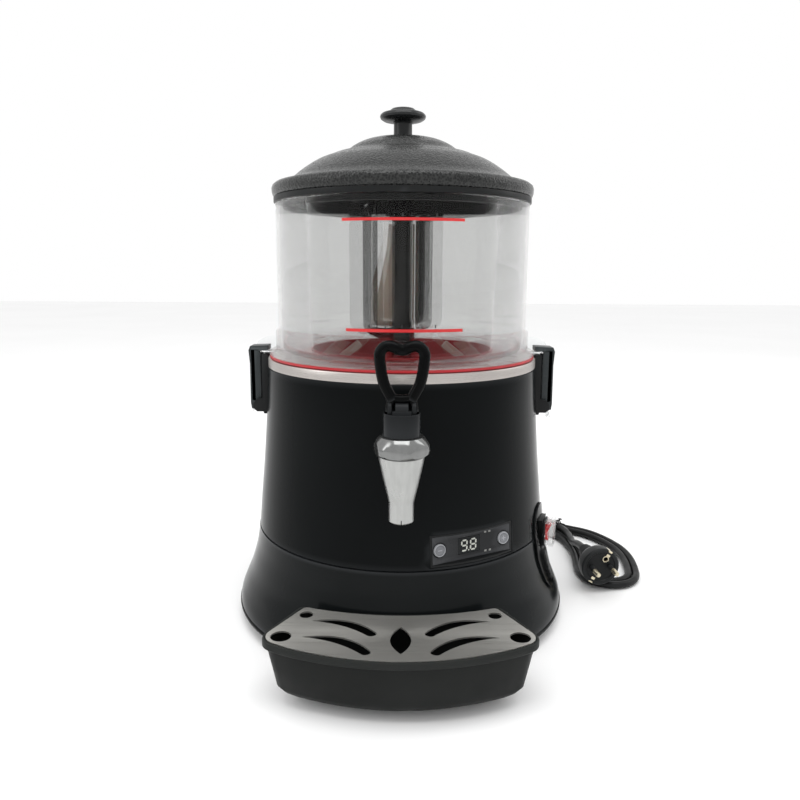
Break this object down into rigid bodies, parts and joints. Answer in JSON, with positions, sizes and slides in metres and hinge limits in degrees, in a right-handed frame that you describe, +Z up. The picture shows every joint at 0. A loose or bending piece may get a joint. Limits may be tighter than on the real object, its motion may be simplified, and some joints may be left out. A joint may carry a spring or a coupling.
{
  "type": "heated cheese dispenser",
  "caption": "Countertop heated dispenser: lidded clear bowl on a flared round body, with an agitator, a lever faucet over a drip tray, a digital panel and a mains lead.",
  "frame": {"origin": "centre of the footprint without the cord, on the surface that the feet stand on", "axes": "+Z up, -Y towards the faucet and drip tray, +X to the right of someone facing the faucet"},
  "size_m": [0.4219, 0.4605, 0.466],
  "materials": {
    "rubber": "matt moulded rubber",
    "body_black": "deep black gloss",
    "black_plastic": "black satin moulding",
    "tray_grey": "dark grey satin moulding",
    "hammered_lid": "dark hammered coating",
    "steel": "brushed",
    "nozzle_chrome": "satin chrome",
    "clear_plastic": "clear moulded plastic",
    "red_silicone": "satin red silicone",
    "pale_plastic": "pale translucent plastic",
    "red_plastic": "gloss red",
    "display_glass": "smoked window",
    "button_grey": "grey gloss cap",
    "board_green": "coated board",
    "zinc_steel": "zinc plated",
    "brass": "turned",
    "mica_band": "metal sheathed mica band"
  },
  "bodies": {
    "machine": {"foot_1": "rubber", "foot_2": "rubber", "foot_3": "rubber", "foot_4": "rubber", "base_plate": "black_plastic", "tray_bracket": "zinc_steel", "base_skirt": "body_black", "body_shell": "body_black", "tank": "steel", "band_heater": "mica_band", "thermostat": "zinc_steel", "gear_motor": "zinc_steel", "motor_bracket": "steel", "control_panel": "black_plastic", "display_window": "display_glass", "circuit_board": "board_green", "switch_pod": "black_plastic", "switch_housing": "black_plastic", "switch_cover": "clear_plastic", "faucet_shank": "steel", "shank_nut": "brass", "faucet_body": "nozzle_chrome", "bonnet_nut": "nozzle_chrome", "faucet_tower": "black_plastic", "bowl_seal": "red_silicone", "bowl": "clear_plastic", "latch_bracket_left": "black_plastic", "latch_bracket_right": "black_plastic", "cord_gland": "black_plastic", "power_cord": "rubber", "cord_hank": "rubber", "cord_tie": "black_plastic", "plug_body": "black_plastic", "plug_pin_1": "brass", "plug_pin_2": "brass", "plug_lead": "rubber"},
    "lid": {"lid_dome": "hammered_lid", "lid_ring": "black_plastic", "lid_knob": "black_plastic", "lid_screw": "steel"},
    "agitator": {"agitator_hub": "steel", "drive_shaft": "steel", "agitator_loop_left": "steel", "agitator_loop_right": "steel", "wiper_blade": "pale_plastic", "scraper_left": "pale_plastic", "scraper_right": "pale_plastic"},
    "handle": {"faucet_handle": "black_plastic"},
    "valve": {"valve_stem": "red_silicone", "valve_spring": "steel"},
    "latch_left": {"latch_lever_left": "black_plastic", "latch_tab_left": "clear_plastic"},
    "latch_right": {"latch_lever_right": "black_plastic", "latch_tab_right": "clear_plastic"},
    "left_button": {"button_left": "button_grey"},
    "right_button": {"button_right": "button_grey"},
    "switch_rocker": {"rocker": "red_plastic"},
    "tray": {"tray_body": "tray_grey"},
    "grid": {"tray_grid": "steel"}
  },
  "joints": [
    {"name": "lid_lift", "type": "slide", "parent": "machine", "child": "lid", "axis": [0, 0, 1], "range_m": [0, 0.15]},
    {"name": "agitator_spin", "type": "hinge", "parent": "machine", "child": "agitator", "pos_m": [0, 0.0292, 0.26], "axis": [0, 0, 1], "continuous": true},
    {"name": "handle_pull", "type": "hinge", "parent": "machine", "child": "handle", "pos_m": [0, -0.1288, 0.223], "axis": [1, 0, 0], "range_deg": [0, 35], "stiffness_Nm_per_rad": 0.4, "springref_deg": -17.19},
    {"name": "valve_lift", "type": "slide", "parent": "machine", "child": "valve", "axis": [0, 0, 1], "range_m": [0, 0.0046], "deforming": ["valve_spring"]},
    {"name": "latch_left_swing", "type": "hinge", "parent": "machine", "child": "latch_left", "pos_m": [-0.136, 0.0292, 0.196], "axis": [0, -1, 0], "range_deg": [0, 45]},
    {"name": "latch_right_swing", "type": "hinge", "parent": "machine", "child": "latch_right", "pos_m": [0.136, 0.0292, 0.196], "axis": [0, 1, 0], "range_deg": [0, 45]},
    {"name": "left_button_press", "type": "slide", "parent": "machine", "child": "left_button", "axis": [-0.4526, 0.8883, -0.0785], "range_m": [0, 0.0008], "stiffness_N_per_m": 400},
    {"name": "right_button_press", "type": "slide", "parent": "machine", "child": "right_button", "axis": [-0.4526, 0.8883, -0.0785], "range_m": [0, 0.0008], "stiffness_N_per_m": 400},
    {"name": "rocker_tilt", "type": "hinge", "parent": "machine", "child": "switch_rocker", "pos_m": [0.1325, -0.01903, 0.087], "axis": [-0.342, -0.9397, 0], "range_deg": [0, 14]},
    {"name": "tray_slide", "type": "slide", "parent": "machine", "child": "tray", "axis": [0, -1, 0], "range_m": [0, 0.12]},
    {"name": "grid_lift", "type": "slide", "parent": "tray", "child": "grid", "axis": [0, 0, 1], "range_m": [0, 0.05]}
  ],
  "couplings": [
    {"joint": "valve_lift", "follows": "handle_pull", "m_per_rad": 0.00735}
  ]
}
